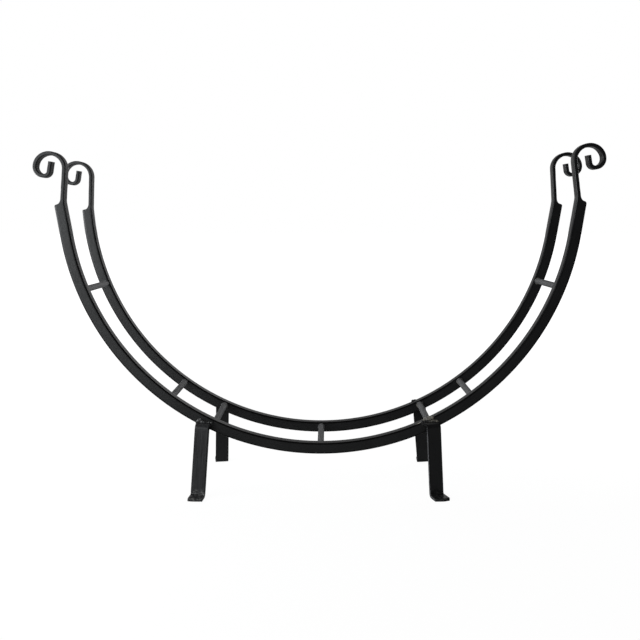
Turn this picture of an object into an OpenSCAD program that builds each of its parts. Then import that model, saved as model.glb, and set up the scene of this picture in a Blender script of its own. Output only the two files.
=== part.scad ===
// Crescent log holder: two forged half hoops of square bar with scrolled ends,
// joined by round cross rods and carried by four bent flat-bar legs.
// Millimetres, +Z up, X along the hoops, -Y towards the viewer.
// The origin is on the floor, under the middle of the whole piece.

/* [Hoops] */
// Outer radius of both hoops
hoop_r = 496; // [400:1:650]
// Width and depth of the square hoop bar
bar = 19; // [15:0.5:25]
// Rounding along the long edges of the bar
bar_edge = 2; // [1:0.1:2.4]
// Clear distance between the two hoops
hoop_gap = 129; // [90:1:260]
// Height of the lowest point of the hoops above the floor
hoop_clearance = 75; // [60:1:120]

/* [Scrolls] */
// Thickness to which the bar is drawn out above the shoulder
strip = 7.2; // [5:0.1:7.5]
// Radius of the hollow where the strip leaves the shoulder
shoulder_hollow = 11; // [7:0.5:11.5]
// Rounding of the shoulder's outer corner
shoulder_corner = 3; // [1:0.1:4]
// Radius of the bend just above the shoulder
kink_r = 32; // [28:1:90]
// Outer radius of the scroll's first quarter, up to its top
scroll_r_rise = 33; // [28:0.5:40]
// Outer radius of the second quarter, down the far side
scroll_r_fall = 29.5; // [24:0.5:32]
// Outer radius of the third quarter, under the scroll
scroll_r_under = 20.6; // [18:0.1:23]
// Outer radius of the last turn, up to the tip
scroll_r_hook = 13.6; // [11:0.1:16]
// Turn of that last radius
hook_angle = 82; // [60:1:100]

/* [Front left end] */
// Angle from straight down where the hoop stops curving
front_left_arc_angle = 79; // [70:0.5:84]
// Straight length from there to the shoulder
front_left_straight = 66; // [20:0.5:90]
// Lean of the strip towards the logs
front_left_lean = 3.2; // [0:0.1:8]
// Straight length of the strip below the scroll
front_left_stem = 55; // [40:0.5:90]
// Straight length of the tip inside the scroll
front_left_tip = 19; // [8:0.5:20]

/* [Front right end] */
// Angle from straight down where the hoop stops curving
front_right_arc_angle = 80; // [70:0.5:84]
// Straight length from there to the shoulder
front_right_straight = 64; // [20:0.5:90]
// Lean of the strip towards the logs
front_right_lean = 6.2; // [0:0.1:8]
// Straight length of the strip below the scroll
front_right_stem = 61.5; // [40:0.5:90]
// Straight length of the tip inside the scroll
front_right_tip = 15.5; // [8:0.5:20]

/* [Rear left end] */
// Angle from straight down where the hoop stops curving
rear_left_arc_angle = 83.5; // [70:0.5:84]
// Straight length from there to the shoulder
rear_left_straight = 20; // [20:0.5:90]
// Lean of the strip towards the logs
rear_left_lean = 1.2; // [0:0.1:8]
// Straight length of the strip below the scroll
rear_left_stem = 61; // [40:0.5:90]
// Straight length of the tip inside the scroll
rear_left_tip = 18; // [8:0.5:20]

/* [Rear right end] */
// Angle from straight down where the hoop stops curving
rear_right_arc_angle = 79.5; // [70:0.5:84]
// Straight length from there to the shoulder
rear_right_straight = 66.5; // [20:0.5:90]
// Lean of the strip towards the logs
rear_right_lean = 2.6; // [0:0.1:8]
// Straight length of the strip below the scroll
rear_right_stem = 63; // [40:0.5:90]
// Straight length of the tip inside the scroll
rear_right_tip = 14.5; // [8:0.5:20]

/* [Cross rods] */
// Diameter of the round cross rods
rod_d = 12.5; // [8:0.5:13]
// Distance from the hoops' inner face to the middle of a rod
rod_inset = 7; // [6.5:0.1:8]
// Angle from straight down of the rod beside the left legs
left_leg_rod_angle = 24.4; // [20:0.1:28]
// Angle from straight down of the rod beside the right legs
right_leg_rod_angle = 24.9; // [20:0.1:28]
// Angle from straight down of the left lower rod
left_lower_angle = 35.7; // [32:0.1:45]
// Angle from straight down of the right lower rod
right_lower_angle = 36.2; // [32:0.1:45]
// Angle from straight down of the left upper rod
left_upper_angle = 67; // [55:0.1:69]
// Angle from straight down of the right upper rod
right_upper_angle = 67.7; // [55:0.1:69]

/* [Legs] */
// Width of the flat leg bar
leg_w = 26; // [20:0.5:30]
// Thickness of the flat leg bar
leg_t = 6; // [5:0.1:8]
// Distance from the hoop's face to the outer face of the leg
leg_standoff = 20; // [18:0.5:40]
// Length that the foot stands out past the leg's outer face
toe = 21; // [14:0.5:40]
// Inner radius of the leg's two bends
leg_bend = 2; // [1:0.5:6]
// Rounding along the edges of the leg bar
leg_edge = 1; // [0.5:0.1:2]

/* [Leg places] */
// Distance of the front left leg's top from the middle of the hoops
front_left_leg_x = 217.5; // [190:0.5:240]
// How far up the hoop's face the front left leg's tail reaches
front_left_tail = 8.5; // [8:0.5:16]
// Outward lean of the front left leg
front_left_splay_angle = 3.6; // [0:0.1:5]
// Outward turn of the front left leg's toe
front_left_twist_angle = 4; // [0:0.5:20]
// Distance of the front right leg's top from the middle of the hoops
front_right_leg_x = 204.5; // [190:0.5:240]
// How far up the hoop's face the front right leg's tail reaches
front_right_tail = 15; // [8:0.5:16]
// Outward lean of the front right leg
front_right_splay_angle = 2.3; // [0:0.1:5]
// Outward turn of the front right leg's toe
front_right_twist_angle = 18; // [0:0.5:20]
// Distance of the rear left leg's top from the middle of the hoops
rear_left_leg_x = 206.5; // [190:0.5:240]
// How far up the hoop's face the rear left leg's tail reaches
rear_left_tail = 8.5; // [8:0.5:16]
// Outward lean of the rear left leg
rear_left_splay_angle = 0.4; // [0:0.1:5]
// Outward turn of the rear left leg's toe
rear_left_twist_angle = 18; // [0:0.5:20]
// Distance of the rear right leg's top from the middle of the hoops
rear_right_leg_x = 205.5; // [190:0.5:240]
// How far up the hoop's face the rear right leg's tail reaches
rear_right_tail = 14; // [8:0.5:16]
// Outward lean of the rear right leg
rear_right_splay_angle = 4.4; // [0:0.1:5]
// Outward turn of the rear right leg's toe
rear_right_twist_angle = 2; // [0:0.5:20]

/* [Welds] */
// Leg length of the weld round each rod end
rod_weld = 2.5; // [1.5:0.1:2.6]
// Part of the circle that each rod weld covers
rod_weld_angle = 220; // [150:5:240]
// Radius of one drop of the welds at the legs
leg_weld = 4.5; // [3:0.1:5]
// Drops in the weld over a leg's tail
leg_weld_drops = 6; // [4:1:8]
// Radius of the largest drop of the weld spilt over the front hoop at the right leg rod
spill = 4.5; // [3:0.1:5]

/* [Hidden] */
$fn = 96;

iron = [0.10, 0.10, 0.11];
rod_iron = [0.22, 0.22, 0.23];
weld_iron = [0.16, 0.14, 0.12];

inner_r = hoop_r - bar;
rod_r = rod_d / 2;
centre_z = hoop_clearance + hoop_r;
leg_reach = leg_standoff + toe;
leg_bend_outer = leg_bend + leg_t;
// Extra length that is cut off flush where a leg or a weld meets the hoop's face
trim = 10;
// A forged end is drawn out in stretches: each starts this far inside the one before
lap = 1;
// and is this much slimmer on every side
draw = 0.05;

// The four forged ends: arc, straight, lean, stem, tip
front_left_end = [front_left_arc_angle, front_left_straight, front_left_lean, front_left_stem, front_left_tip];
front_right_end = [front_right_arc_angle, front_right_straight, front_right_lean, front_right_stem, front_right_tip];
rear_left_end = [rear_left_arc_angle, rear_left_straight, rear_left_lean, rear_left_stem, rear_left_tip];
rear_right_end = [rear_right_arc_angle, rear_right_straight, rear_right_lean, rear_right_stem, rear_right_tip];

// The rods: angle from straight down, positive to the right
rod_angles = [0, -left_leg_rod_angle, right_leg_rod_angle, -left_lower_angle, right_lower_angle,
              -left_upper_angle, right_upper_angle];

// How far a forged end's scroll reaches sideways from the middle of its hoop
function end_reach(e) =
    (inner_r + 2 * draw - kink_r) * sin(e[0])
    + e[1] * cos(e[0])
    + (kink_r + 2 * draw + scroll_r_rise) * cos(e[2])
    - e[3] * sin(e[2])
    + scroll_r_fall;

// How far a turned foot reaches from the face of its hoop
function foot_reach(twist) = leg_reach * cos(twist) + leg_w / 2 * sin(twist);

// Height of a leg's top at x, when its tail reaches up the hoop's face by tail
function leg_top(x, tail) = centre_z - sqrt(pow(hoop_r - tail, 2) - x * x);

// The spilt drops: along the hoop and size in units of spill, and where across the bar
spilt_drops = [[-3.2, 0.62, 0.78], [-2.1, 0.85, 0.74], [-0.9, 1, 0.76], [0.4, 1, 0.70],
               [1.2, 0.85, 0.52], [-0.3, 0.9, 0.36], [0.8, 0.75, 0.20]];

// The four legs: side (-1 left), end (-1 front), distance, height, lean, turn of the toe
front_left = [-1, -1, front_left_leg_x, leg_top(front_left_leg_x, front_left_tail),
              front_left_splay_angle, front_left_twist_angle];
front_right = [1, -1, front_right_leg_x, leg_top(front_right_leg_x, front_right_tail),
               front_right_splay_angle, front_right_twist_angle];
rear_left = [-1, 1, rear_left_leg_x, leg_top(rear_left_leg_x, rear_left_tail),
             rear_left_splay_angle, rear_left_twist_angle];
rear_right = [1, 1, rear_right_leg_x, leg_top(rear_right_leg_x, rear_right_tail),
              rear_right_splay_angle, rear_right_twist_angle];

// These keep the origin under the middle of the whole piece
centre_x = (max(end_reach(front_left_end), end_reach(rear_left_end))
            - max(end_reach(front_right_end), end_reach(rear_right_end))) / 2;
centre_y = (max(foot_reach(front_left_twist_angle), foot_reach(front_right_twist_angle))
            - max(foot_reach(rear_left_twist_angle), foot_reach(rear_right_twist_angle))) / 2;
front_face_y = centre_y - hoop_gap / 2 - bar;
rear_face_y = centre_y + hoop_gap / 2 + bar;

// Cross-section of a bar with rounded edges
module bar_section(w, d, edge) {
    translate([edge, 0])
        square([w - 2 * edge, d]);
    translate([0, edge])
        square([w, d - 2 * edge]);
    for (x = [edge, w - edge], y = [edge, d - edge])
        translate([x, y])
            circle(edge);
}

// A straight length along +Y, then what follows it
module run(length, w, d, edge, lead = 0) {
    translate([0, length, 0])
        rotate([90, 0, 0])
            linear_extrude(length + lead)
                bar_section(w, d, edge);
    translate([0, length, 0])
        children();
}

// A bend to the left about a centre at -r, then what follows it
module bend_left(r, turn, w, d, edge, lead = 0) {
    lead_turn = lead / r * 180 / PI;
    translate([-r, 0, 0]) {
        rotate_extrude(angle = turn + lead_turn, start = -lead_turn)
            translate([r, 0])
                bar_section(w, d, edge);
        rotate([0, 0, turn])
            translate([r, 0, 0])
                children();
    }
}

// A bend to the right about a centre at +r, then what follows it
module bend_right(r, turn, w, d, edge, lead = 0) {
    lead_turn = lead / r * 180 / PI;
    translate([r, 0, 0]) {
        mirror([1, 0, 0])
            rotate_extrude(angle = turn + lead_turn, start = -lead_turn)
                translate([r - w, 0])
                    bar_section(w, d, edge);
        rotate([0, 0, -turn])
            translate([-r, 0, 0])
                children();
    }
}

// Sizes of the n-th stretch of a forged end
function drawn(size, n) = size - 2 * n * draw;
function drawn_edge(n) = bar_edge - n * draw;

// Sets the next stretch in the middle of the one before
module slimmer() {
    translate([draw, 0, draw])
        children();
}

module drawn_run(n, length) {
    slimmer()
        run(length, drawn(strip, n), drawn(bar, n), drawn_edge(n), lap)
            children();
}

module drawn_kink(n, turn) {
    slimmer()
        bend_left(kink_r, turn, drawn(strip, n), drawn(bar, n), drawn_edge(n), lap)
            children();
}

module drawn_curl(n, r, turn) {
    slimmer()
        bend_right(r, turn, drawn(strip, n), drawn(bar, n), drawn_edge(n), lap)
            children();
}

// The hollow forged between the shoulder and the strip
module shoulder() {
    // How far the strip has bent away by the top of the hollow
    sag = pow(shoulder_hollow, 2) / (2 * (kink_r + strip));
    x = strip - sag;
    translate([0, 0, draw])
        linear_extrude(drawn(bar, 2))
            difference() {
                translate([x - bar_edge, -lap])
                    square([shoulder_hollow + bar_edge, shoulder_hollow + lap]);
                translate([x + shoulder_hollow, shoulder_hollow])
                    circle(shoulder_hollow);
            }
}

// What is taken off the shoulder's outer corner to round it
module shoulder_corner_cut() {
    translate([bar - shoulder_corner, -shoulder_corner, -1])
        linear_extrude(bar + 2)
            difference() {
                square(shoulder_corner + 1);
                circle(shoulder_corner);
            }
}

// The last of the straight bar, up to the shoulder
module bar_end(length) {
    difference() {
        run(length, drawn(bar, 1), drawn(bar, 1), drawn_edge(1), lap);
        translate([0, length, 0])
            shoulder_corner_cut();
    }
}

// One forged end: straight bar, shoulder, drawn-out strip and scroll
module forged_end(e) {
    rotate([0, 0, e[0] - 90])
        translate([inner_r, 0, 0])
            slimmer() {
                bar_end(e[1]);
                translate([0, e[1], 0]) {
                    shoulder();
                    drawn_kink(2, 90 + e[2] - e[0])
                        drawn_run(3, e[3])
                            scroll(e[2], e[4]);
                }
            }
}

// The scroll: quarters of shrinking radius and a straight tip
module scroll(lean, tip) {
    drawn_curl(4, scroll_r_rise, 90 + lean)
        drawn_curl(5, scroll_r_fall, 90)
            drawn_curl(6, scroll_r_under, 90)
                drawn_curl(7, scroll_r_hook, hook_angle)
                    drawn_run(8, tip);
}

// A whole hoop, with its bar running back from its front face at y = 0
module hoop(left, right) {
    translate([0, bar, 0])
        rotate([90, 0, 0]) {
            rotate([0, 0, -90 - left[0]])
                rotate_extrude(angle = left[0] + right[0])
                    translate([inner_r, 0])
                        bar_section(bar, bar, bar_edge);
            forged_end(right);
            mirror([1, 0, 0])
                forged_end(left);
        }
}

module front_hoop() {
    color(iron)
        translate([centre_x, front_face_y, centre_z])
            hoop(front_left_end, front_right_end);
}

module rear_hoop() {
    color(iron)
        translate([centre_x, rear_face_y - bar, centre_z])
            hoop(rear_left_end, rear_right_end);
}

// Puts its children at a rod's place on the given plane across the hoops
module at_rod(angle, y) {
    translate([centre_x, y, centre_z])
        rotate([0, -angle, 0])
            translate([0, 0, -(inner_r + rod_inset)])
                children();
}

module rod(i) {
    color(rod_iron)
        at_rod(rod_angles[i], front_face_y + bar)
            rotate([-90, 0, 0])
                cylinder(h = hoop_gap, r = rod_r);
}

// The weld round the outer side of one rod end, standing on y = 0
module rod_weld_bead() {
    rotate([-90, 0, 0])
        rotate([0, 0, 90 - rod_weld_angle / 2])
            rotate_extrude(angle = rod_weld_angle)
                translate([rod_r, 0])
                    intersection() {
                        circle(rod_weld);
                        square(rod_weld);
                    }
}

// Drops of weld on the inner face of the front hoop
module spilt_weld() {
    intersection() {
        at_rod(right_leg_rod_angle, front_face_y)
            for (d = spilt_drops)
                translate([d[0] * spill, (1 - d[2]) * bar, rod_inset - 1])
                    sphere(d[1] * spill);
        translate([centre_x, front_face_y + bar, centre_z])
            rotate([90, 0, 0])
                cylinder(h = bar, r = inner_r - draw, $fn = 960);
    }
}

module front_rod_welds() {
    color(weld_iron) {
        for (angle = rod_angles)
            at_rod(angle, front_face_y + bar)
                rod_weld_bead();
        spilt_weld();
    }
}

module rear_rod_welds() {
    color(weld_iron)
        for (angle = rod_angles)
            at_rod(angle, rear_face_y - bar)
                mirror([0, 1, 0])
                    rod_weld_bead();
}

// A straight leg before it is turned and trimmed: toe, bend, shank, bend, tail.
// It stands on z = 0 in front of the hoop's face at y = 0.
module leg_blank(top) {
    translate([-leg_w / 2, -leg_reach, leg_t])
        rotate([0, 90, 0])
            run(toe - leg_bend, leg_t, leg_w, leg_edge)
                bend_left(leg_bend, 90, leg_t, leg_w, leg_edge)
                    run(top - leg_bend_outer - leg_t - leg_bend, leg_t, leg_w, leg_edge)
                        bend_right(leg_bend_outer, 90, leg_t, leg_w, leg_edge)
                            run(leg_standoff - leg_bend_outer + trim, leg_t, leg_w, leg_edge);
}

// Leans a left leg or its weld outwards about the tail and turns its toe out
module lean_leg(top, splay, twist) {
    translate([0, 0, top])
        rotate([0, splay, 0])
            rotate([0, 0, -twist])
                translate([0, 0, -top - leg_w / 2 * sin(splay)])
                    children();
}

// The space in front of the hoop's face and above the floor
module before_hoop(top) {
    reach = 3 * leg_reach;
    translate([-reach, -reach, 0])
        cube([2 * reach, reach, top + reach]);
}

// A front left leg in front of the hoop's face at y = 0
module bent_leg(l) {
    intersection() {
        lean_leg(l[3], l[4], l[5])
            leg_blank(l[3]);
        before_hoop(l[3]);
    }
}

// The drops of weld over and beside its tail, where it meets the hoop
module tail_weld(l) {
    pitch = leg_w / (leg_weld_drops - 1);
    difference() {
        intersection() {
            lean_leg(l[3], l[4], 0)
                translate([0, 0, l[3]]) {
                    for (i = [0 : leg_weld_drops - 1])
                        translate([-leg_w / 2 + i * pitch, 0, 0])
                            sphere(leg_weld);
                    for (x = [-leg_w / 2, leg_w / 2])
                        translate([x, 0, -leg_t * 0.7])
                            sphere(leg_weld * 0.85);
                }
            before_hoop(l[3]);
        }
        bent_leg(l);
    }
}

// Puts a front left piece at another leg's place
module at_leg(l) {
    translate([centre_x + l[0] * l[2], l[1] < 0 ? front_face_y : rear_face_y, 0])
        mirror([l[0] > 0 ? 1 : 0, 0, 0])
            mirror([0, l[1] > 0 ? 1 : 0, 0])
                children();
}

module leg(l) {
    color(iron)
        at_leg(l)
            bent_leg(l);
}

module leg_weld_bead(l) {
    color(weld_iron)
        at_leg(l)
            tail_weld(l);
}

front_hoop();
rear_hoop();
rod(0);  // bottom_rod
rod(1);  // left_leg_rod
rod(2);  // right_leg_rod
rod(3);  // left_lower_rod
rod(4);  // right_lower_rod
rod(5);  // left_upper_rod
rod(6);  // right_upper_rod
leg(front_left);  // front_left_leg
leg(front_right);  // front_right_leg
leg(rear_left);  // rear_left_leg
leg(rear_right);  // rear_right_leg
leg_weld_bead(front_left);  // front_left_leg_weld
leg_weld_bead(front_right);  // front_right_leg_weld
leg_weld_bead(rear_left);  // rear_left_leg_weld
leg_weld_bead(rear_right);  // rear_right_leg_weld
front_rod_welds();
rear_rod_welds();
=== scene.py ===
"""Crescent log holder: the forged bars, rods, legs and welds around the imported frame, and the stage."""

import math

import bmesh
import bpy
from bpy.props import FloatProperty, FloatVectorProperty, IntProperty, PointerProperty
from bpy.types import Operator, Panel, PropertyGroup
from mathutils import Matrix, Vector, noise


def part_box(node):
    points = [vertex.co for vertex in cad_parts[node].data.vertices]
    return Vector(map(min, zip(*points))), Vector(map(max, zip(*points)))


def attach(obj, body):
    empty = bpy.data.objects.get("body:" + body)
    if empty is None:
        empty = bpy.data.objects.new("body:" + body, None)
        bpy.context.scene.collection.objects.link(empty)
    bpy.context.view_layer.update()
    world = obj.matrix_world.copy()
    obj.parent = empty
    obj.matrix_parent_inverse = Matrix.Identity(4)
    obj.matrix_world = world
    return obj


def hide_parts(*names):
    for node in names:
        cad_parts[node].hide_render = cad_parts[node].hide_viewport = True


bl_info = {
    "name": "Crescent log holder",
    "version": (1, 0, 0),
    "blender": (4, 5, 0),
    "location": "View3D > Sidebar > Log holder",
    "description": "Builds a forged crescent log holder and its studio",
    "category": "Add Mesh",
}

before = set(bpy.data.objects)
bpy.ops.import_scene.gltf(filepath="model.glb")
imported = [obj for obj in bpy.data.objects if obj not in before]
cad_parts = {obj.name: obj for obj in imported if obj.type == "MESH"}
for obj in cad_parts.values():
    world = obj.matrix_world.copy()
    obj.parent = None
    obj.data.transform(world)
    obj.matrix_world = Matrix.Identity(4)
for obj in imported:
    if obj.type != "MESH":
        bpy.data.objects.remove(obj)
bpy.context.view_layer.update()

MM = 0.001
CORNERS = ("front_left", "front_right", "rear_left", "rear_right")
RODS = ("bottom", "left_leg", "right_leg", "left_lower", "right_lower", "left_upper", "right_upper")

# Drops spilt over the front hoop: along and size in units of a middling one, and where across the bar
SPILL = (
    (-5.1, 0.52, 0.86), (-4.2, 0.62, 0.84), (-3.2, 0.72, 0.82), (-2.2, 0.92, 0.80), (-1.1, 1.05, 0.82),
    (0.0, 1.1, 0.84), (1.1, 0.95, 0.82), (2.1, 0.8, 0.86), (1.2, 0.85, 0.54), (-0.3, 0.95, 0.42),
    (0.9, 0.8, 0.2), (-0.9, 0.75, 0.12))
# Drops of the heavier bead at the outer end of the front left tail: inwards, forwards and up from that
# end in millimetres, and radius
LEFT_BEAD = ((0.5, 1.2, 0.4, 3.4), (2.6, 1.2, 2.2, 3.6), (5.2, 0.8, 3.6, 3.0), (-1.0, 0.8, -2.2, 2.8))
# Sides of a round rod
ROD_SIDES = 28
# Drops along the top of a tail, down each of its sides, and round a rod's end over this many degrees
TAIL_DROPS = 7
SIDE_DROPS = 2
ROD_DROPS = 11
ROD_BEAD_ANGLE = 220

# How far the rods' ends, the legs' tails and the welds' beads sink into the metal beside them
ROD_SINK = 0.6 * MM
TAIL_SINK = 0.5 * MM
BEAD_SINK = 0.4 * MM
# Width of the softened rim round a bar's end
RIM = 0.5 * MM
# How far below a shoulder the forging starts to show, the length over which it grows, and the length
# above the shoulder over which the unevenness of the drawn-out strip grows
FORGED_FROM = 60 * MM
FORGED_RAMP = 50 * MM
DRAWN_RAMP = 20 * MM
# How much of a shoulder's hollow its flat end cuts off
SHOULDER_LIP = 0.3 * MM
# Cross-sections round a shoulder's corner, as shares of its radius
SHOULDER_STOPS = (0.3, 0.55, 0.75, 0.88, 0.96, 1.0)
# Distance between two cross-sections in each turn of a scroll
SCROLL_STEPS = (1.8 * MM, 1.6 * MM, 1.2 * MM, 0.9 * MM)

# Finishes change between two coordinates in metres: back towards the rear legs, up from a leg's shank
# to its tail, up from its foot to its shank, and to the left, where the scuffs on the feet carry more
# painted highlight
REAR_LEGS_FROM = (0.070, 0.083)
SHANK_TOP = (0.122, 0.130)
FOOT_TOP = (0.009, 0.018)
LIT_LEFT_FROM = (0.0, 0.05)
# Name, place, aim, width and height of each lamp, and the property that holds its power
LAMPS = (
    ("key_lamp", (-2.9, -2.5, 1.15), (-0.2, 0, 0.3), 3.0, 2.8, "key_power"),
    ("low_lamp", (-1.65, -2.7, 0.75), (-0.45, -0.1, 0.3), 1.5, 1.4, "low_power"),
    ("card", (-0.85, -1.45, 0.01), (-0.85, -1.45, 1), 0.9, 1.3, "card_power"),
    ("side_lamp", (-0.98, -0.38, 0.36), (-0.3, -0.3, 0.02), 0.4, 0.4, "side_power"),
    ("top_lamp", (0.1, 1.7, 2.6), (0, 0.2, 0.2), 3.2, 2.0, "top_power"),
    ("back_lamp", (2.5, 2.2, 1.0), (-0.1, 0, 0.3), 1.5, 1.5, "back_power"))

FRONT_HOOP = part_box("front_hoop")
REAR_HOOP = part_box("rear_hoop")
BOTTOM_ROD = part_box("bottom_rod")


# Sizes and colours


class LogHolderSizes(PropertyGroup):
    """The sizes of the forged pieces."""

    hoop_radius: FloatProperty(
        name="Hoop radius", description="Outer radius of both hoops",
        default=496 * MM, unit="LENGTH")
    bar: FloatProperty(
        name="Bar", description="Width and depth of the square hoop bar",
        default=FRONT_HOOP[1].y - FRONT_HOOP[0].y, unit="LENGTH")
    forged_swell: FloatProperty(
        name="Swell", description="How much bending and forging spread the bar on its outer side",
        default=0.8 * MM, min=0, unit="LENGTH")
    bar_edge: FloatProperty(
        name="Bar edge", description="Rounding along the edges of the hoop bar",
        default=2 * MM, unit="LENGTH")
    end_strips: FloatVectorProperty(
        name="Strips", description="Thickness to which each end is drawn out above its shoulder",
        default=(7.4 * MM, 7.5 * MM, 6.8 * MM, 7.2 * MM), size=4, unit="LENGTH")
    shoulder_hollow: FloatProperty(
        name="Shoulder hollow", description="Radius of the hollow where the strip leaves the shoulder",
        default=7.8 * MM, unit="LENGTH")
    shoulder_corners: FloatVectorProperty(
        name="Shoulder corners", description="Rounding of each shoulder's outer corner",
        default=(3 * MM, 4.6 * MM, 3 * MM, 3.6 * MM), size=4, unit="LENGTH")
    kink_radius: FloatProperty(
        name="Kink", description="Radius of the bend just above the shoulder",
        default=32 * MM, unit="LENGTH")
    scroll_radii: FloatVectorProperty(
        name="Scroll", description="Outer radii of the scroll, from its rise to its last turn",
        default=(33 * MM, 29.5 * MM, 20.6 * MM, 13.6 * MM), size=4, unit="LENGTH")
    hook_turn: FloatProperty(
        name="Hook", description="Turn of the scroll's last radius",
        default=math.radians(82), subtype="ANGLE")
    end_arcs: FloatVectorProperty(
        name="Arcs", description="Angle where each hoop stops curving, from straight down",
        default=[math.radians(a) for a in (79, 80, 83.5, 79.5)], size=4)
    end_straights: FloatVectorProperty(
        name="Straights", description="Straight length from there to each shoulder",
        default=(66 * MM, 64 * MM, 20 * MM, 66.5 * MM), size=4, unit="LENGTH")
    end_leans: FloatVectorProperty(
        name="End leans", description="Lean of each strip towards the logs",
        default=[math.radians(a) for a in (3.2, 6.2, 1.2, 2.6)], size=4)
    end_stems: FloatVectorProperty(
        name="Stems", description="Straight length of each strip below its scroll",
        default=(55 * MM, 61.5 * MM, 61 * MM, 63 * MM), size=4, unit="LENGTH")
    end_tips: FloatVectorProperty(
        name="Tips", description="Straight length of each tip inside its scroll",
        default=(19 * MM, 15.5 * MM, 18 * MM, 14.5 * MM), size=4, unit="LENGTH")
    rod_radius: FloatProperty(
        name="Rod radius", description="Radius of the round cross rods",
        default=(BOTTOM_ROD[1].x - BOTTOM_ROD[0].x) / 2, unit="LENGTH")
    rod_inset: FloatProperty(
        name="Rod inset", description="Distance from the hoops' inner face to the middle of a rod",
        default=7.8 * MM, unit="LENGTH")
    rod_angles: FloatVectorProperty(
        name="Rod angles", description="Angle of each rod from straight down, positive to the right",
        default=[math.radians(a) for a in (0, -24.4, 24.9, -35.7, 36.2, -67, 67.7)], size=7)
    leg_width: FloatProperty(
        name="Leg width", description="Width of the flat leg bar",
        default=27 * MM, unit="LENGTH")
    leg_thickness: FloatProperty(
        name="Leg thickness", description="Thickness of the flat leg bar",
        default=6 * MM, unit="LENGTH")
    leg_edge: FloatProperty(
        name="Leg edge", description="Rounding along the edges of the leg bar",
        default=0.9 * MM, unit="LENGTH")
    leg_standoff: FloatProperty(
        name="Leg standoff", description="Distance from the hoop's face to the outer face of a leg",
        default=20 * MM, unit="LENGTH")
    toes: FloatVectorProperty(
        name="Toes", description="Length of each foot past its leg before its end is cut square",
        default=(21 * MM, 24 * MM, 21 * MM, 21 * MM), size=4, unit="LENGTH")
    toe_reach: FloatProperty(
        name="Toe reach", description="Distance from the hoop's face to where the feet are cut square",
        default=40.9 * MM, unit="LENGTH")
    leg_bend: FloatProperty(
        name="Leg bend", description="Inner radius of a leg's two bends",
        default=2 * MM, unit="LENGTH")
    leg_places: FloatVectorProperty(
        name="Leg places", description="Distance of each leg's top from the middle of the hoops",
        default=(217.5 * MM, 204.5 * MM, 206.5 * MM, 205.5 * MM), size=4, unit="LENGTH")
    leg_tails: FloatVectorProperty(
        name="Leg tails", description="How far up the hoop's face each leg's tail reaches",
        default=(8.5 * MM, 15 * MM, 8.5 * MM, 14 * MM), size=4, unit="LENGTH")
    leg_leans: FloatVectorProperty(
        name="Leg leans", description="Outward lean of each leg",
        default=[math.radians(a) for a in (3.6, 2.3, 0.4, 4.4)], size=4)
    leg_turns: FloatVectorProperty(
        name="Leg turns", description="Outward turn of each leg's toe",
        default=[math.radians(a) for a in (4, 18, 11, 2)], size=4)
    weld_drop: FloatProperty(
        name="Weld drop", description="Radius of one drop of the welds at the legs",
        default=4.3 * MM, unit="LENGTH")
    rod_drop: FloatProperty(
        name="Rod weld drop", description="Radius of one drop of the welds round the rods",
        default=1.7 * MM, unit="LENGTH")
    spill: FloatProperty(
        name="Spill", description="Radius of a middling drop spilt over the front hoop",
        default=4.5 * MM, unit="LENGTH")
    ring_step: FloatProperty(
        name="Ring step", description="Distance between two cross-sections of the hoops",
        default=4 * MM, min=1 * MM, unit="LENGTH")
    dent: FloatProperty(
        name="Dents", description="Depth of the hammer marks in the drawn-out strips",
        default=0.45 * MM, min=0, unit="LENGTH")
    side_cuts: IntProperty(
        name="Side cuts", description="Strips along each flat side of a bar", default=5, min=2)


class LogHolderFinish(PropertyGroup):
    """The colours and the gloss."""

    paint: FloatVectorProperty(
        name="Paint", description="Black paint on the hoops and the legs",
        default=(0.0080, 0.0080, 0.0085), subtype="COLOR")
    rod_paint: FloatVectorProperty(
        name="Rod paint", description="Thinner black paint on the rods",
        default=(0.130, 0.130, 0.132), subtype="COLOR")
    # The tan that the welds turn to at one side: painted light on the outer ends of the right tail beads,
    # and a lighter tone towards the right on the rod beads
    weld_tan: FloatVectorProperty(
        name="Weld paint", description="Thin paint over the welds, with a brown tint",
        default=(0.215, 0.200, 0.165), subtype="COLOR")
    worn: FloatVectorProperty(
        name="Worn", description="Iron that shows where paint is thin along an edge",
        default=(0.070, 0.069, 0.067), subtype="COLOR")
    weld_dark: FloatVectorProperty(
        name="Painted weld", description="Paint over the welds at the legs",
        default=(0.022, 0.022, 0.022), subtype="COLOR")
    roughness: FloatProperty(
        name="Roughness", description="Mean roughness of the paint",
        default=0.36, subtype="FACTOR", min=0, max=1)
    wear: FloatProperty(
        name="Wear", description="How much the paint has thinned along the edges",
        default=0.2, subtype="FACTOR", min=0, max=1)


class LogHolderStudio(PropertyGroup):
    """The floor, the lamps and the camera."""

    floor: FloatVectorProperty(
        name="Floor", description="Colour of the floor", default=(0.36, 0.36, 0.36), subtype="COLOR")
    key_power: FloatProperty(
        name="Key lamp", description="Power of the soft lamp at the front left in watts", default=52)
    low_power: FloatProperty(
        name="Low lamp", description="Power of the soft lamp low at the front left in watts", default=7)
    card_power: FloatProperty(
        name="Card", description="Power of the bright card on the floor at the front left", default=2.2)
    side_power: FloatProperty(
        name="Side lamp", description="Power of the small lamp low at the left in watts", default=3.5)
    top_power: FloatProperty(
        name="Top lamp", description="Power of the soft lamp above in watts", default=2)
    back_power: FloatProperty(
        name="Back lamp", description="Power of the soft lamp behind at the right in watts", default=14)
    camera_place: FloatVectorProperty(
        name="Camera", description="Place of the camera", default=(0.0137, -1.4898, 0.5092),
        subtype="TRANSLATION")
    camera_lens: FloatProperty(name="Lens", description="Focal length in millimetres", default=42.19)
    camera_shift: FloatVectorProperty(
        name="Shift", description="Shift of the frame that keeps uprights parallel",
        default=(-0.0125, -0.1531), size=2)


# Drawing a bar out ring by ring


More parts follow.
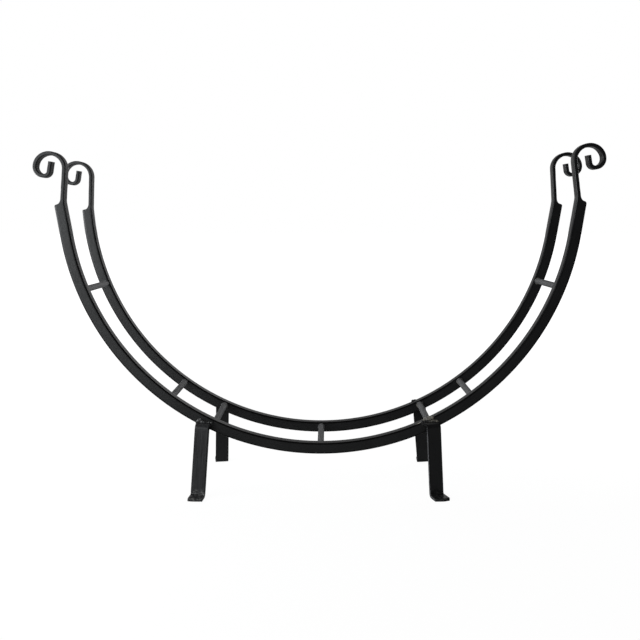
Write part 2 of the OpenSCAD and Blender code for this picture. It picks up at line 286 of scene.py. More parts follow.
class Path:
    """The inner line of a bar in its own plane: places, outward directions and sections along it."""

    def __init__(self, x, z, heading, section):
        self.x, self.z, self.heading = x, z, heading
        self.section = section
        self.run_length = 0.0
        self.rings = []
        self.mark()

    def outward(self):
        return math.sin(self.heading), -math.cos(self.heading)

    def mark(self):
        section = self.section(self.run_length)
        self.rings.append((self.x, self.z, *self.outward(), section, self.run_length))

    def straight(self, length, step):
        count = max(1, round(length / step))
        for _ in range(count):
            self.x += math.cos(self.heading) * length / count
            self.z += math.sin(self.heading) * length / count
            self.run_length += length / count
            self.mark()

    def stops(self, stops):
        """Straight on, with a cross-section at each of these lengths from where the path is now."""
        done = 0.0
        for stop in stops:
            self.straight(stop - done, stop - done)
            done = stop

    def bend(self, radius, turn, step):
        """Turns left for a positive angle and right for a negative one."""
        side = 1 if turn > 0 else -1
        count = max(1, math.ceil(abs(turn) * radius / step))
        cx = self.x - side * math.sin(self.heading) * radius
        cz = self.z + side * math.cos(self.heading) * radius
        for _ in range(count):
            self.heading += turn / count
            self.x = cx + side * math.sin(self.heading) * radius
            self.z = cz - side * math.cos(self.heading) * radius
            self.run_length += radius * abs(turn) / count
            self.mark()


def section_points(width, depth, edge, cuts):
    """Points round a bar's section, as (across, deep, how near to an edge)."""
    points = []
    corners = (
        (width - edge, edge, -90), (width - edge, depth - edge, 0),
        (edge, depth - edge, 90), (edge, edge, 180))
    arc_steps = 4
    for i, (cx, cy, start) in enumerate(corners):
        for k in range(arc_steps + 1):
            a = math.radians(start + 90 * k / arc_steps)
            near = 1.0 - abs(k / arc_steps - 0.5)
            points.append((cx + edge * math.cos(a), cy + edge * math.sin(a), near))
        nx, ny, nstart = corners[(i + 1) % 4]
        a = math.radians(start + 90)
        b = math.radians(nstart)
        p = (cx + edge * math.cos(a), cy + edge * math.sin(a))
        q = (nx + edge * math.cos(b), ny + edge * math.sin(b))
        for k in range(1, cuts):
            t = k / cuts
            points.append((p[0] + (q[0] - p[0]) * t, p[1] + (q[1] - p[1]) * t, 0.0))
    return points


def ring_edges(bm, ring):
    return [bm.edges.get((ring[i - 1], ring[i])) for i in range(len(ring))]


def next_ring(bm, ring):
    """Extrudes the open end of a bar and returns its new ring in the same order."""
    made = bmesh.ops.extrude_edge_only(bm, edges=ring_edges(bm, ring))["geom"]
    new = {v for v in made if isinstance(v, bmesh.types.BMVert)}
    return [next(e.other_vert(v) for e in v.link_edges if e.other_vert(v) in new) for v in ring]


def drawn_bar(rings, cuts, deep_start):
    """A closed bar swept through the rings of a path, with its edges and its run in attributes."""
    bm = bmesh.new()
    edge_layer = bm.verts.layers.float.new("worn_edge")
    forged_layer = bm.verts.layers.float.new("forged")
    uv_layer = bm.loops.layers.uv.new("run")
    count = len(section_points(*rings[0][4][:3], cuts))
    ring = bmesh.ops.create_circle(bm, segments=count, radius=1.0)["verts"]
    where = {}
    first = ring
    for n, (x, z, ox, oz, section, along) in enumerate(rings):
        if n:
            ring = next_ring(bm, ring)
        width, depth, edge, forged, across0 = section
        way = 0.0
        points = section_points(width, depth, edge, cuts)
        for k, (v, (across, deep, near)) in enumerate(zip(ring, points)):
            u = across0 + across
            v.co = (x + ox * u, deep_start + deep, z + oz * u)
            v[edge_layer] = near
            v[forged_layer] = forged
            if k:
                way += math.dist(points[k][:2], points[k - 1][:2])
            where[v] = (along, way, k)
    around = way + math.dist(points[0][:2], points[-1][:2])
    for face in bm.faces:
        ks = [where[loop.vert][2] for loop in face.loops]
        wraps = max(ks) - min(ks) > count / 2
        for loop in face.loops:
            along, way, k = where[loop.vert]
            if wraps and k < count / 2:
                way = around
            loop[uv_layer].uv = (along, way)
    for end in (first, ring):
        cap_end(bm, end, uv_layer, where)
    bmesh.ops.recalc_face_normals(bm, faces=bm.faces)
    return bm


def cap_end(bm, ring, uv_layer, where):
    """Closes the end of a bar and softens its rim."""
    made = bmesh.ops.contextual_create(bm, geom=ring_edges(bm, ring))["faces"]
    for face in made:
        for loop in face.loops:
            along, way, _ = where[loop.vert]
            loop[uv_layer].uv = (along, way)
    bmesh.ops.inset_region(bm, faces=made, thickness=RIM, depth=0.0, use_even_offset=True)


def hammer(bm, depth, grain, plain_depth=0.0):
    """Sinks soft dents into a mesh, to plain_depth where it wasn't forged, and never raises it."""
    forged_layer = bm.verts.layers.float.get("forged")
    bm.normal_update()
    moved = []
    for v in bm.verts:
        forged = v[forged_layer] if forged_layer else 1.0
        amount = plain_depth + (depth - plain_depth) * forged
        wave = 0.5 + 0.5 * noise.noise(v.co / grain + Vector((7.3, 1.9, 4.1)))
        fine = 0.5 + 0.5 * noise.noise(v.co / (grain * 0.33) + Vector((2.7, 9.2, 5.5)))
        moved.append((v, v.normal * (-amount * (0.72 * wave + 0.28 * fine))))
    for v, shift in moved:
        v.co += shift


def finished(bm, name, nodes, material):
    """Makes a finished piece of a bmesh and hides the CAD nodes it stands for."""
    mesh = bpy.data.meshes.new(name)
    bm.to_mesh(mesh)
    bm.free()
    piece = bpy.data.objects.new(name, mesh)
    bpy.context.scene.collection.objects.link(piece)
    mesh.shade_smooth()
    mesh.set_sharp_from_angle(angle=math.radians(50))
    mesh.materials.append(material)
    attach(piece, "root")
    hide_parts(*nodes)


def move(bm, offset):
    bmesh.ops.translate(bm, verts=bm.verts, vec=offset)


def turn(bm, angle, axis):
    bmesh.ops.rotate(bm, verts=bm.verts, cent=(0, 0, 0), matrix=Matrix.Rotation(angle, 3, axis))


# The places of things


def hoop_middle(sizes):
    """The middle of both hoops across, and its height."""
    return BOTTOM_ROD[0].x + sizes.rod_radius, FRONT_HOOP[0].z + sizes.hoop_radius


def leg_top(sizes, i):
    """Height of a leg's tail, which reaches up the hoop's face."""
    radius = sizes.hoop_radius - sizes.leg_tails[i]
    return hoop_middle(sizes)[1] - math.sqrt(radius**2 - sizes.leg_places[i] ** 2)


def place_leg(bm, sizes, i):
    """Mirrors a front left piece to its corner and sets it against the hoop's face."""
    side = -1 if "left" in CORNERS[i] else 1
    rear = "rear" in CORNERS[i]
    face = REAR_HOOP[1].y if rear else FRONT_HOOP[0].y
    scale = Vector((-side, -1 if rear else 1, 1))
    bmesh.ops.scale(bm, verts=bm.verts, vec=scale)
    if scale.x * scale.y < 0:
        bmesh.ops.reverse_faces(bm, faces=bm.faces)
    move(bm, Vector((hoop_middle(sizes)[0] + side * sizes.leg_places[i], face, 0)))


# Hoops


def wobble(along, seed):
    """A slow unevenness along a forged strip, between 0 and 1."""
    return 0.5 + 0.5 * noise.noise(Vector((along / (11 * MM), seed, 3.3)))


def hoop_end(sizes, i):
    """Rings of half a hoop, from straight down to the tip of its scroll."""
    bar, strip, edge = sizes.bar, sizes.end_strips[i], sizes.bar_edge
    inner = sizes.hoop_radius - bar
    wide = bar + sizes.forged_swell
    corner, hollow = sizes.shoulder_corners[i], sizes.shoulder_hollow
    arc_length = inner * sizes.end_arcs[i]
    shoulder_at = arc_length + sizes.end_straights[i]
    crest = strip + hollow - SHOULDER_LIP

    def section(along):
        """Width, depth, edge, forging and inset of the bar there."""
        rise = along - shoulder_at
        if rise < -corner:
            forged = smooth_step((rise + FORGED_FROM) / FORGED_RAMP)
            return wide, bar, edge, forged, 0.0
        if rise < 0:
            width = wide - (corner - math.sqrt(max(0.0, corner**2 - (corner + rise) ** 2)))
            return max(width, crest), bar, edge, 1.0, 0.0
        width = strip
        if rise < hollow:
            width = strip + hollow - math.sqrt(max(0.0, hollow**2 - (hollow - rise) ** 2))
            width = min(width, crest)
        drawn = smooth_step(rise / DRAWN_RAMP)
        swell = sizes.dent * (wobble(along, 10.0 * i) - 0.5) * drawn
        narrow = sizes.dent * 1.4 * wobble(along, 10.0 * i + 5) * drawn
        return width + swell, bar - narrow, min(edge, strip * 0.24), 1.0, 0.0

    path = Path(0.0, -inner, 0.0, section)
    path.bend(inner, sizes.end_arcs[i], sizes.ring_step)
    path.straight(sizes.end_straights[i] - corner, sizes.ring_step)
    path.stops([corner * t for t in SHOULDER_STOPS])
    lean_turn = math.pi / 2 + sizes.end_leans[i] - sizes.end_arcs[i]
    path.bend(sizes.kink_radius, lean_turn, 0.6 * MM)
    path.straight(sizes.end_stems[i], 2.5 * MM)
    turns = (math.pi / 2 + sizes.end_leans[i], math.pi / 2, math.pi / 2, sizes.hook_turn)
    for radius, angle, step in zip(sizes.scroll_radii, turns, SCROLL_STEPS):
        path.bend(radius, -angle, step)
    path.straight(sizes.end_tips[i] - 0.4 * MM, 1.4 * MM)
    return path.rings


def smooth_step(t):
    """Eases from 0 to 1 and stays there."""
    t = min(1.0, max(0.0, t))
    return t * t * (3 - 2 * t)


def mirrored(rings):
    """The same rings on the other side, walked the other way."""
    return [(-x, z, -ox, oz, section, -along) for x, z, ox, oz, section, along in reversed(rings)]


def forge_hoop(sizes, left, right, front_y):
    """A hoop from the tip of its left scroll to the tip of its right one."""
    rings = mirrored(hoop_end(sizes, left))[:-1] + hoop_end(sizes, right)
    bm = drawn_bar(rings, sizes.side_cuts, front_y)
    middle_x, middle_z = hoop_middle(sizes)
    hammer(bm, depth=sizes.dent * 0.35, grain=18 * MM, plain_depth=0.06 * MM)
    move(bm, Vector((middle_x, 0, middle_z)))
    return bm


# Rods


def rod_frame(sizes, i, y):
    """Where a rod's middle line crosses the plane y, turned so that +Z points to the hoops' middle."""
    middle_x, middle_z = hoop_middle(sizes)
    reach = sizes.hoop_radius - sizes.bar + sizes.rod_inset
    turned = Matrix.Rotation(-sizes.rod_angles[i], 4, "Y")
    return Matrix.Translation((middle_x, y, middle_z)) @ turned @ Matrix.Translation((0, 0, -reach))


def cut_rod(sizes, i):
    """A round rod between the inner faces of the hoops, sunk a little into their welds."""
    bm = bmesh.new()
    y0 = FRONT_HOOP[1].y - ROD_SINK
    y1 = REAR_HOOP[0].y + ROD_SINK
    uv_layer = bm.loops.layers.uv.new("run")
    ring = bmesh.ops.create_circle(bm, segments=ROD_SIDES, radius=sizes.rod_radius)["verts"]
    turn(bm, math.radians(90), "X")
    move(bm, Vector((0, y0, 0)))
    first = ring
    step = 2.5 * MM
    count = round((y1 - y0) / step)
    for _ in range(count):
        ring = next_ring(bm, ring)
        bmesh.ops.translate(bm, verts=ring, vec=(0, (y1 - y0) / count, 0))
    for end in (first, ring):
        bmesh.ops.contextual_create(bm, geom=ring_edges(bm, end))
    bmesh.ops.recalc_face_normals(bm, faces=bm.faces)
    for face in bm.faces:
        for loop in face.loops:
            co = loop.vert.co
            loop[uv_layer].uv = (co.y, math.atan2(co.x, co.z) * sizes.rod_radius)
    bmesh.ops.transform(bm, matrix=rod_frame(sizes, i, 0), verts=bm.verts)
    hammer(bm, depth=0.22 * MM, grain=9 * MM)
    return bm


# Legs


def bend_leg(sizes, i):
    """A flat bar bent twice: toe, shank and tail, leaned, turned and cut flush."""
    width, thick, edge = sizes.leg_width, sizes.leg_thickness, sizes.leg_edge
    inside, outside = sizes.leg_bend, sizes.leg_bend + sizes.leg_thickness
    top = leg_top(sizes, i)
    spare = 10 * MM  # of the tail, cut off at the hoop's face

    def section(along):
        """The section stays the same, and counts as forged where the bar was bent hot."""
        toe_bend = along - (sizes.toes[i] - inside)
        worked = math.exp(-((toe_bend - 3 * MM) / (9 * MM)) ** 2)
        return thick, width, edge, worked, 0.0

    path = Path(-(sizes.leg_standoff + sizes.toes[i]), thick, 0.0, section)
    path.straight(sizes.toes[i] - inside, 1.6 * MM)
    path.bend(inside, math.pi / 2, 0.5 * MM)
    path.straight(top - outside - thick - inside, 2.2 * MM)
    path.bend(outside, -math.pi / 2, 1.2 * MM)
    path.straight(sizes.leg_standoff - outside + spare, 1.6 * MM)
    bm = drawn_bar(path.rings, sizes.side_cuts + 3, -width / 2)
    turn(bm, math.radians(-90), "Z")
    bmesh.ops.scale(bm, verts=bm.verts, vec=(-1, -1, 1))
    hammer(bm, depth=0.30 * MM, grain=8 * MM, plain_depth=0.10 * MM)
    move(bm, Vector((0, 0, -top - width / 2 * math.sin(sizes.leg_leans[i]))))
    turn(bm, -sizes.leg_turns[i], "Z")
    turn(bm, sizes.leg_leans[i], "Y")
    move(bm, Vector((0, 0, top)))
    trim(bm, (0, TAIL_SINK, 0), (0, 1, 0))
    trim(bm, (0, 0, 0), (0, 0, -1))
    trim(bm, (0, -sizes.toe_reach, 0), (0, -1, 0))
    place_leg(bm, sizes, i)
    return bm


def trim(bm, plane, outward):
    """Cuts off what lies past a plane and closes the cut."""
    geom = bm.verts[:] + bm.edges[:] + bm.faces[:]
    cut = bmesh.ops.bisect_plane(
        bm, geom=geom, dist=1e-6, plane_co=plane, plane_no=outward, clear_outer=True)["geom_cut"]
    rim = [e for e in cut if isinstance(e, bmesh.types.BMEdge) and e.is_boundary]
    if rim:
        bmesh.ops.holes_fill(bm, edges=rim, sides=0)


# Welds


def fused(bm, name, voxel):
    """Melts overlapping drops into one closed bead."""
    mesh = bpy.data.meshes.new(name + "_drops")
    bm.to_mesh(mesh)
    bm.free()
    piece = bpy.data.objects.new(name + "_drops", mesh)
    bpy.context.scene.collection.objects.link(piece)
    melt = piece.modifiers.new("melt", "REMESH")
    melt.mode = "VOXEL"
    melt.voxel_size = voxel
    evaluated = piece.evaluated_get(bpy.context.evaluated_depsgraph_get())
    melted = bpy.data.meshes.new_from_object(evaluated)
    bpy.data.objects.remove(piece)
    bpy.data.meshes.remove(mesh)
    out = bmesh.new()
    out.from_mesh(melted)
    bpy.data.meshes.remove(melted)
    bmesh.ops.smooth_vert(
        out, verts=out.verts, factor=0.5, use_axis_x=True, use_axis_y=True, use_axis_z=True)
    return out


def drop(bm, place, radii):
    """One drop of weld metal, uneven in its own way."""
    made = bmesh.ops.create_icosphere(bm, subdivisions=2, radius=1.0)["verts"]
    for v in made:
        swell = 1.0 + 0.16 * noise.noise(v.co * 1.7 + Vector(place) * 900)
        v.co = Vector(place) + Vector((v.co.x * radii[0], v.co.y * radii[1], v.co.z * radii[2])) * swell


def lay_tail_weld(sizes, i):
    """The bead over and beside a leg's tail, at the hoop's face."""
    bm = bmesh.new()
    top = leg_top(sizes, i)
    lean = sizes.leg_leans[i]
    r = sizes.weld_drop
    half = sizes.leg_width / 2
    for k in range(TAIL_DROPS):
        x = -half + 2 * half * k / (TAIL_DROPS - 1)
        size = r * (0.82 + 0.25 * noise.noise(Vector((k * 1.7, i * 3.1, 0.4))))
        drop(bm, (x, -0.5 * MM, -0.4 * MM), (size * 1.05, size * 1.05, size * 0.9))
    for side in (-1, 1):
        for k in range(SIDE_DROPS):
            size = r * (0.72 - 0.12 * k)
            drop(bm, (side * half, -0.5 * MM, (-2.4 - 2.6 * k) * MM), (size * 0.9, size * 1.05, size))
    if CORNERS[i] == "front_left":
        for inwards, forwards, up, size in LEFT_BEAD:
            drop(bm, (inwards * MM - half, -forwards * MM, up * MM), [size * MM] * 3)
    turn(bm, lean, "Y")
    move(bm, Vector((0, 0, top)))
    bm = fused(bm, CORNERS[i] + "_tail_bead", 0.7 * MM)
    trim(bm, (0, BEAD_SINK, 0), (0, 1, 0))
    hammer(bm, depth=0.25 * MM, grain=3 * MM)
    place_leg(bm, sizes, i)
    return bm


def lay_rod_welds(sizes, front):
    """The beads round the outer side of every rod at one hoop."""
    whole = bmesh.new()
    y = FRONT_HOOP[1].y if front else REAR_HOOP[0].y
    away = 1 if front else -1
    r = sizes.rod_drop
    reach = sizes.rod_radius - BEAD_SINK
    for i in range(len(RODS)):
        bm = bmesh.new()
        for k in range(ROD_DROPS):
            a = math.radians(-ROD_BEAD_ANGLE / 2 + ROD_BEAD_ANGLE * k / (ROD_DROPS - 1))
            size = r * (0.92 + 0.2 * noise.noise(Vector((k * 1.3, i * 5.7, y * 90))))
            place = (math.sin(a) * reach, away * 0.2 * MM, -math.cos(a) * reach)
            drop(bm, place, (size, size * 0.95, size))
        bmesh.ops.transform(bm, matrix=rod_frame(sizes, i, y), verts=bm.verts)
        bm = fused(bm, RODS[i] + "_bead", 0.5 * MM)
        hammer(bm, depth=0.2 * MM, grain=2.4 * MM)
        add_to(whole, bm)
    if front:
        add_to(whole, spill_weld(sizes))
    return whole


def add_to(whole, bm):
    """Adds one bead's mesh to another."""
    part = bpy.data.meshes.new("bead")
    bm.to_mesh(part)
    bm.free()
    whole.from_mesh(part)
    bpy.data.meshes.remove(part)


def spill_weld(sizes):
    """The lumps of weld on the inner face of the front hoop, beside the right leg rod."""
    bm = bmesh.new()
    for along, size, across in SPILL:
        r = size * sizes.spill
        place = (along * sizes.spill, -across * sizes.bar, sizes.rod_inset - 1.2 * MM)
        drop(bm, place, (r * 1.1, r, r))
    beside_rod = rod_frame(sizes, RODS.index("right_leg"), FRONT_HOOP[1].y)
    bmesh.ops.transform(bm, matrix=beside_rod, verts=bm.verts)
    bm = fused(bm, "spill", 0.6 * MM)
    hammer(bm, depth=0.35 * MM, grain=3 * MM)
    trim(bm, FRONT_HOOP[0], (0, -1, 0))
    return bm


# Materials


class Wire:
    """A shader socket that can be used in Python expressions."""

    def __init__(self, finish, socket):
        self.finish = finish
        self.socket = socket

    def maths(self, operation, a, b):
        return self.finish.node("ShaderNodeMath", {"operation": operation}, {0: a, 1: b})

    def __add__(self, other):
        return self.maths("ADD", self, other)

    __radd__ = __add__

    def __sub__(self, other):
        return self.maths("SUBTRACT", self, other)

    def __rsub__(self, other):
        return self.maths("SUBTRACT", other, self)

    def __mul__(self, other):
        return self.maths("MULTIPLY", self, other)

    __rmul__ = __mul__


class Tree:
    """A node tree and the one way in which its nodes are made."""

    def __init__(self, owner):
        owner.use_nodes = True
        self.tree = owner.node_tree

    def node(self, kind, settings, inputs, output=0):
        """Makes a node, sets it, feeds its sockets and returns one of its outputs."""
        made = self.tree.nodes.new(kind)
        for key, value in settings.items():
            setattr(made, key, value)
        for key, value in inputs.items():
            self.join(value, made.inputs[key])
        return Wire(self, made.outputs[output])

    def join(self, value, socket):
        if isinstance(value, Wire):
            self.tree.links.new(value.socket, socket)
        else:
            socket.default_value = value

    def spread(self, value, low, high, kind="LINEAR"):
        """Stretches values between low and high to 0 and 1."""
        return self.node(
            "ShaderNodeMapRange", {"clamp": True, "interpolation_type": kind},
            {"Value": value, "From Min": low, "From Max": high})

    def part(self, vector, axis):
        """One coordinate of a vector."""
        return self.node("ShaderNodeSeparateXYZ", {}, {0: vector}, axis)

    def ray_is(self, output):
        """1 for rays of one kind and 0 for others."""
        return self.node("ShaderNodeLightPath", {}, {}, output)


class Finish(Tree):
    """A material of this object."""

    def __init__(self, name):
        self.material = bpy.data.materials.new(name)
        super().__init__(self.material)
        self.shader = self.tree.nodes["Principled BSDF"]

    def feed(self, **inputs):
        for key, value in inputs.items():
            self.join(value, self.shader.inputs[key.replace("_", " ")])

    def place(self, scale):
        """Object coordinates in metres, scaled along each axis."""
        co = self.node("ShaderNodeTexCoord", {}, {}, "Object")
        return self.node("ShaderNodeVectorMath", {"operation": "MULTIPLY"}, {0: co, 1: scale})

    def axis(self, name):
        """One object coordinate in metres: X to the right, Y to the rear or Z up."""
        return self.part(self.place((1, 1, 1)), name)

    def before_rear_legs(self):
        """1 up to the rear hoop and 0 on the rear legs."""
        return 1 - self.spread(self.axis("Y"), *REAR_LEGS_FROM)

    def attribute(self, name):
        return self.node("ShaderNodeAttribute", {"attribute_name": name}, {}, "Fac")

    def run(self, scale):
        """The way along a bar and round it, scaled."""
        co = self.node("ShaderNodeUVMap", {"uv_map": "run"}, {})
        return self.node("ShaderNodeVectorMath", {"operation": "MULTIPLY"}, {0: co, 1: scale})

    def grain(self, where, detail=3.0, rough=0.55):
        return self.node(
            "ShaderNodeTexNoise", {"noise_dimensions": "3D"},
            {"Vector": where, "Scale": 1.0, "Detail": detail, "Roughness": rough}, "Fac")

    def mix(self, factor, a, b):
        """Colour a where the factor is 0 and b where it is 1."""
        return self.node("ShaderNodeMix", {"data_type": "RGBA"}, {"Factor": factor, 6: a, 7: b}, 2)

    def bump(self, height, distance, strength):
        inputs = {"Height": height, "Distance": distance, "Strength": strength}
        return self.node("ShaderNodeBump", {}, inputs, "Normal")


def colour4(colour, level=1.0):
    """A colour for a socket, lighter or darker by a factor."""
    return tuple(c * level for c in colour) + (1.0,)


def painted_bar(name, colour, finish, streak, dents, worn_share=0.0, dull=0.0, painted_light_left=None, leg=False):
    """Semi-gloss black paint over black iron bar.

    streak scales the brush marks along the bar and round it, dents the height of the hammer marks,
    worn_share the wear along the edges, and dull is added to the roughness. The pair given for the
    left is the distance to the left from which the paint is painted lighter, and how much lighter it
    is there: painted light where the lamps at the left light the bars. A leg also has painted light
    down the left side of its shank, and a scuffed foot with painted highlights, more of them on the
    left.
    """
    f = Finish(name)
    cloud = f.grain(f.place((16, 16, 16)), 4)
    speck = f.grain(f.place((420, 420, 420)), 2)
    forge = f.grain(f.place((95, 95, 95)), 3)
    lines = f.grain(f.run((streak[0], streak[1], 0)), 4, 0.6)
    edge = f.attribute("worn_edge")
    patch = f.spread(f.grain(f.place((140, 140, 140)), 4, 0.65), 0.52, 0.66)
    worn = f.spread(edge, 0.45, 0.95) * patch * (finish.wear * worn_share)
    tone = f.mix(f.spread(cloud, 0.3, 0.7), colour4(colour, 0.78), colour4(colour, 1.22))
    tone = f.mix(f.spread(lines, 0.42, 0.72) * 0.35, tone, colour4(colour, 1.9))
    forged = f.attribute("forged")
    plain = 1 - forged * 0.85
    tone = f.mix(f.spread(speck, 0.62, 0.72) * plain * 0.4, tone, colour4(colour, 2.2))
    # Painted shade: the rounded edges of the plain bar get a darker tone, and below also Metallic with
    # that dark tone, so they reflect almost nothing. This stands in for the dark room that such an edge
    # reflects
    rim = f.spread(edge, 0.25, 0.75) * (1 - forged)
    tone = f.mix(rim * 0.7, tone, colour4(colour, 0.3))
    tone = f.mix(worn * plain, tone, colour4(finish.worn))
    height = (forge * dents + lines * 0.35 + speck * 0.22) * plain
    # Painted light: left of the given distance, the front legs and the rods are painted lighter where the
    # lamps at the left light them
    if painted_light_left:
        start, level = painted_light_left
        left_light = f.spread(0 - f.axis("X"), start, start + 0.02) * f.before_rear_legs()
        tone = f.mix(left_light * f.spread(lines, 0.3, 0.62) * 0.9, tone, colour4(colour, level))
    if leg:
        # Painted light: the faces of a shank that turn to the left are painted much lighter, standing in
        # for the light of the lamps at the left
        facing = f.part(f.node("ShaderNodeNewGeometry", {}, {}, "Normal"), "X")
        shank = 1 - f.spread(f.axis("Z"), *SHANK_TOP)
        tone = f.mix(f.spread(0 - facing, 0.75, 0.92) * shank * 0.9, tone, colour4(colour, 13))
        # Scuffs on the front feet, partly real wear and partly painted highlight: lighter patches, with
        # more of the lightening to the left where the lamps light the feet
        foot = (1 - f.spread(f.axis("Z"), *FOOT_TOP)) * f.before_rear_legs()
        scuff_and_highlight = f.spread(f.grain(f.place((170, 170, 300)), 3, 0.7), 0.5, 0.6)
        lit_left_share = f.spread(0 - f.axis("X"), *LIT_LEFT_FROM) * 0.6 + 0.2
        tone = f.mix(foot * scuff_and_highlight * lit_left_share, tone, colour4(finish.worn, 1.9))
        height = height + (forge + scuff_and_highlight) * foot * 2.4
    rough = finish.roughness + dull - 0.05 + (cloud - 0.5) * 0.22 + (lines - 0.5) * 0.2
    rough = rough + worn * 0.12 - edge * 0.1
    # Metallic on the rim is part of the painted shade along the edges
    f.feed(Base_Color=tone, Roughness=rough, Metallic=rim * 0.8, Normal=f.bump(height, 0.35 * MM, 0.55))
    return f.material


def painted_weld(name, colour, side_tone, side, start, end):
    """Rippled weld metal under thin paint.

    The side tone grows from start to end, two distances to the right for side 1 and to the left for -1.
    On the tail beads it is painted light on the end that the lamps light; on the rod beads it makes
    them a lighter tan towards the right.
    """
    f = Finish(name)
    ripple = f.grain(f.place((330, 330, 330)), 3)
    scale = f.grain(f.place((1500, 1500, 1500)), 2)
    # The side tone: painted light over the lit end of a tail bead, and a lighter tan towards the right on
    # the rod beads
    side_share = f.spread(f.grain(f.place((120, 120, 120)), 3), 0.32, 0.56)
    side_share = side_share * f.spread(f.axis("X") * side, start, end)
    tone = f.mix(side_share, colour4(colour), colour4(side_tone))
    tone = f.mix(f.spread(ripple, 0.55, 0.7) * 0.5, tone, colour4(colour, 1.7))
    rough = 0.34 + (ripple - 0.5) * 0.35 + scale * 0.08
    height = ripple + scale * 0.25
    f.feed(Base_Color=tone, Roughness=rough, Normal=f.bump(height, 0.5 * MM, 0.6))
    return f.material


def floor_finish(studio):
    """A pale floor that the camera sees nearly white, with a trace of the shadow."""
    f = Finish("studio_floor")
    mottle = f.grain(f.place((2.2, 2.2, 2.2)), 3)
    # Painted light: the floor is twice as light behind the object, a pool of light that the legs reflect
    behind = f.spread(f.axis("Y"), -0.15, 0.3)
    tone = f.mix(behind, colour4(studio.floor), colour4(studio.floor, 2.2))
    tone = f.mix(mottle * 0.05, tone, colour4(studio.floor, 0.96))
    f.feed(Base_Color=tone, Roughness=0.75)
    reach = f.node("ShaderNodeVectorMath", {"operation": "LENGTH"}, {0: f.place((1, 1, 1))}, "Value")
    share = f.spread(reach, 0.8, 2.6) * 0.2 + 0.8
    glow = f.node("ShaderNodeEmission", {}, {"Color": (1, 1, 1, 1), "Strength": 1.2}, "Emission")
    seen = f.node("ShaderNodeMixShader", {}, {0: f.ray_is("Is Camera Ray") * share, 2: glow}, "Shader")
    f.tree.links.new(f.shader.outputs[0], seen.socket.node.inputs[1])
    out = f.tree.nodes["Material Output"]
    f.tree.links.new(seen.socket, out.inputs["Surface"])
    return f.material


# Operators


class LOG_HOLDER_OT_hoops(Operator):
    """Forge the front and the rear hoop, with a shoulder and a scroll at each end"""

    bl_idname = "log_holder.hoops"
    bl_label = "Hoops"

    def execute(self, context):
        sizes, finish = context.scene.log_holder_sizes, context.scene.log_holder_finish
        paint = painted_bar("hoop_paint", finish.paint, finish, (28, 900), 0.9, worn_share=1.0)
        for name, left, right, box in (("front", 0, 1, FRONT_HOOP), ("rear", 2, 3, REAR_HOOP)):
            bm = forge_hoop(sizes, left, right, box[0].y)
            finished(bm, name + "_forged_hoop", [name + "_hoop"], paint)
        return {"FINISHED"}


class LOG_HOLDER_OT_rods(Operator):
    """Cut the seven round cross rods"""

    bl_idname = "log_holder.rods"
    bl_label = "Cross rods"

    def execute(self, context):
        sizes, finish = context.scene.log_holder_sizes, context.scene.log_holder_finish
        # Painted light: the rods at the far left are painted lighter
        paint = painted_bar(
            "rod_paint", finish.rod_paint, finish, (260, 420), 0.8, dull=0.2, painted_light_left=(0.36, 2.4))
        for i, name in enumerate(RODS):
            finished(cut_rod(sizes, i), name + "_round_rod", [name + "_rod"], paint)
        return {"FINISHED"}


class LOG_HOLDER_OT_legs(Operator):
    """Bend the four flat-bar legs"""

    bl_idname = "log_holder.legs"
    bl_label = "Legs"

    def execute(self, context):
        sizes, finish = context.scene.log_holder_sizes, context.scene.log_holder_finish
        # Painted light: the front left leg is painted lighter, and so are the left sides of the shanks
        paint = painted_bar(
            "leg_paint", finish.paint, finish, (14, 420), 0.6,
            worn_share=0.9, painted_light_left=(0.19, 4.6), leg=True)
        for i, name in enumerate(CORNERS):
            finished(bend_leg(sizes, i), name + "_bent_leg", [name + "_leg"], paint)
        return {"FINISHED"}


class LOG_HOLDER_OT_welds(Operator):
    """Lay the welds over the legs' tails and round the rods' ends"""

    bl_idname = "log_holder.welds"
    bl_label = "Welds"

    def execute(self, context):
        sizes, finish = context.scene.log_holder_sizes, context.scene.log_holder_finish
        dark, grey, tan = finish.weld_dark, finish.rod_paint, finish.weld_tan
        # Painted highlight: the left tail beads turn to the rods' grey at their outer end, and the right
        # ones to tan at theirs, where the lamps light them
        left_bead = painted_weld("left_tail_bead", dark, grey, -1, 0.219, 0.224)
        right_bead = painted_weld("right_tail_bead", dark, tan, 1, 0.202, 0.208)
        # The rod beads turn partly to tan towards the right
        rod_bead = painted_weld("rod_bead", grey, tan, 1, 0.0, 0.15)
        for i, name in enumerate(CORNERS):
            bead = left_bead if "left" in name else right_bead
            bm = lay_tail_weld(sizes, i)
            finished(bm, name + "_tail_bead", [name + "_leg_weld"], bead)
        for name in ("front", "rear"):
            bm = lay_rod_welds(sizes, name == "front")
            finished(bm, name + "_rod_beads", [name + "_rod_welds"], rod_bead)
        return {"FINISHED"}


class LOG_HOLDER_OT_studio(Operator):
    """Set the floor, the world, the lamps and the camera"""

    bl_idname = "log_holder.studio"
    bl_label = "Studio"

    def execute(self, context):
        scene, studio = context.scene, context.scene.log_holder_studio
        scene.view_settings.view_transform = "Standard"
        lay_floor(scene, studio)
        light_world(scene)
        for name, place, aim, width, height, power in LAMPS:
            soft_lamp(scene, name, place, aim, width, height, getattr(studio, power))
        set_camera(scene, studio)
        return {"FINISHED"}


def lay_floor(scene, studio):
    bm = bmesh.new()
    bmesh.ops.create_grid(bm, x_segments=8, y_segments=8, size=30.0)
    mesh = bpy.data.meshes.new("floor")
    bm.to_mesh(mesh)
    bm.free()
    floor = bpy.data.objects.new("floor", mesh)
    floor.location.z = -0.0005
    scene.collection.objects.link(floor)
    mesh.materials.append(floor_finish(studio))


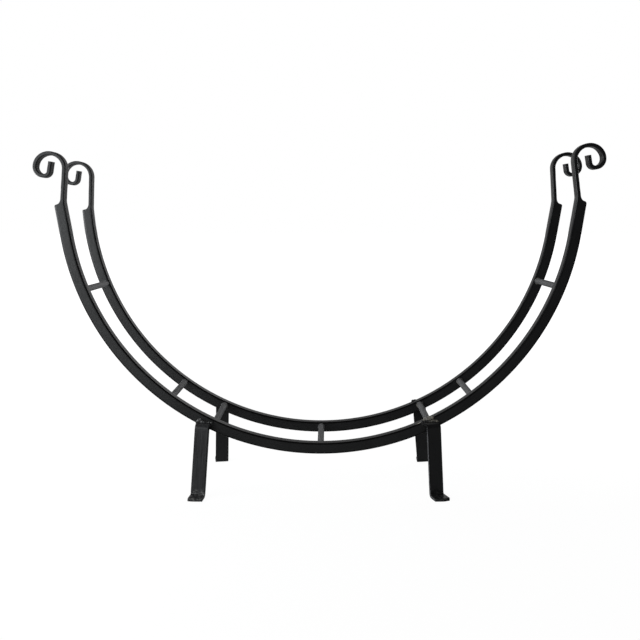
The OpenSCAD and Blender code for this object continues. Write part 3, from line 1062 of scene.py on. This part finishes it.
def light_world(scene):
    """White to the camera, and to what reflects it a backdrop behind and a dim room in front."""
    world = bpy.data.worlds.new("studio")
    w = Tree(world)
    scene.world = world
    way = w.node("ShaderNodeTexCoord", {}, {}, "Generated")
    across, back, up = [w.part(way, axis) for axis in ("X", "Y", "Z")]
    behind = w.spread(back, -0.1, 0.8, "SMOOTHSTEP")
    above = w.spread(up, 0.0, 0.5, "SMOOTHSTEP")
    left = w.spread(0 - across, -0.2, 0.9, "SMOOTHSTEP")
    right = w.spread(across, 0.05, 0.13, "SMOOTHSTEP")
    far_right = w.spread(across, 0.17, 0.285, "SMOOTHSTEP")
    backdrop = behind * (0.5 - above * 0.42) * (0.8 + right * 1.7) * (1 - far_right * 0.93)
    room = 0.04 + backdrop + left * 0.06
    camera = w.ray_is("Is Camera Ray")
    diffuse = w.ray_is("Is Diffuse Ray")
    level = camera + (1 - camera) * (room * (1 - diffuse) + diffuse * 0.24)
    shine = w.tree.nodes["Background"]
    w.join(level, shine.inputs["Strength"])
    shine.inputs["Color"].default_value = (1, 1, 1, 1)


def soft_lamp(scene, name, place, aim, width, height, power):
    data = bpy.data.lights.new(name, "AREA")
    data.shape = "RECTANGLE"
    data.size, data.size_y = width, height
    data.energy = power
    data.color = (0.95, 0.985, 1.0)
    lamp = bpy.data.objects.new(name, data)
    lamp.location = place
    lamp.rotation_euler = (Vector(aim) - Vector(place)).to_track_quat("-Z", "Y").to_euler()
    scene.collection.objects.link(lamp)


def set_camera(scene, studio):
    data = bpy.data.cameras.new("camera")
    data.sensor_width = 36
    data.lens = studio.camera_lens
    data.shift_x, data.shift_y = studio.camera_shift
    camera = bpy.data.objects.new("camera", data)
    camera.location = studio.camera_place
    camera.rotation_euler = (math.radians(90), 0, 0)
    scene.collection.objects.link(camera)
    scene.camera = camera


class LOG_HOLDER_PT_panel(Panel):
    """Lists the steps of the log holder"""

    bl_label = "Log holder"
    bl_idname = "LOG_HOLDER_PT_panel"
    bl_space_type = "VIEW_3D"
    bl_region_type = "UI"
    bl_category = "Log holder"

    def draw(self, context):
        for step in STEPS:
            self.layout.operator(step.bl_idname)
        for group in GROUPS:
            data = getattr(context.scene, group)
            for key in data.bl_rna.properties.keys():
                if key not in ("rna_type", "name"):
                    self.layout.prop(data, key)


GROUPS = {
    "log_holder_sizes": LogHolderSizes,
    "log_holder_finish": LogHolderFinish,
    "log_holder_studio": LogHolderStudio,
}
STEPS = (
    LOG_HOLDER_OT_hoops,
    LOG_HOLDER_OT_rods,
    LOG_HOLDER_OT_legs,
    LOG_HOLDER_OT_welds,
    LOG_HOLDER_OT_studio,
)


def register():
    for cls in (*GROUPS.values(), *STEPS, LOG_HOLDER_PT_panel):
        bpy.utils.register_class(cls)
    for name, cls in GROUPS.items():
        setattr(bpy.types.Scene, name, PointerProperty(type=cls))


def unregister():
    for name in GROUPS:
        delattr(bpy.types.Scene, name)
    for cls in (LOG_HOLDER_PT_panel, *reversed(STEPS), *GROUPS.values()):
        bpy.utils.unregister_class(cls)


def main():
    register()
    bpy.ops.log_holder.hoops()
    bpy.ops.log_holder.rods()
    bpy.ops.log_holder.legs()
    bpy.ops.log_holder.welds()
    bpy.ops.log_holder.studio()


if __name__ == "__main__":
    main()
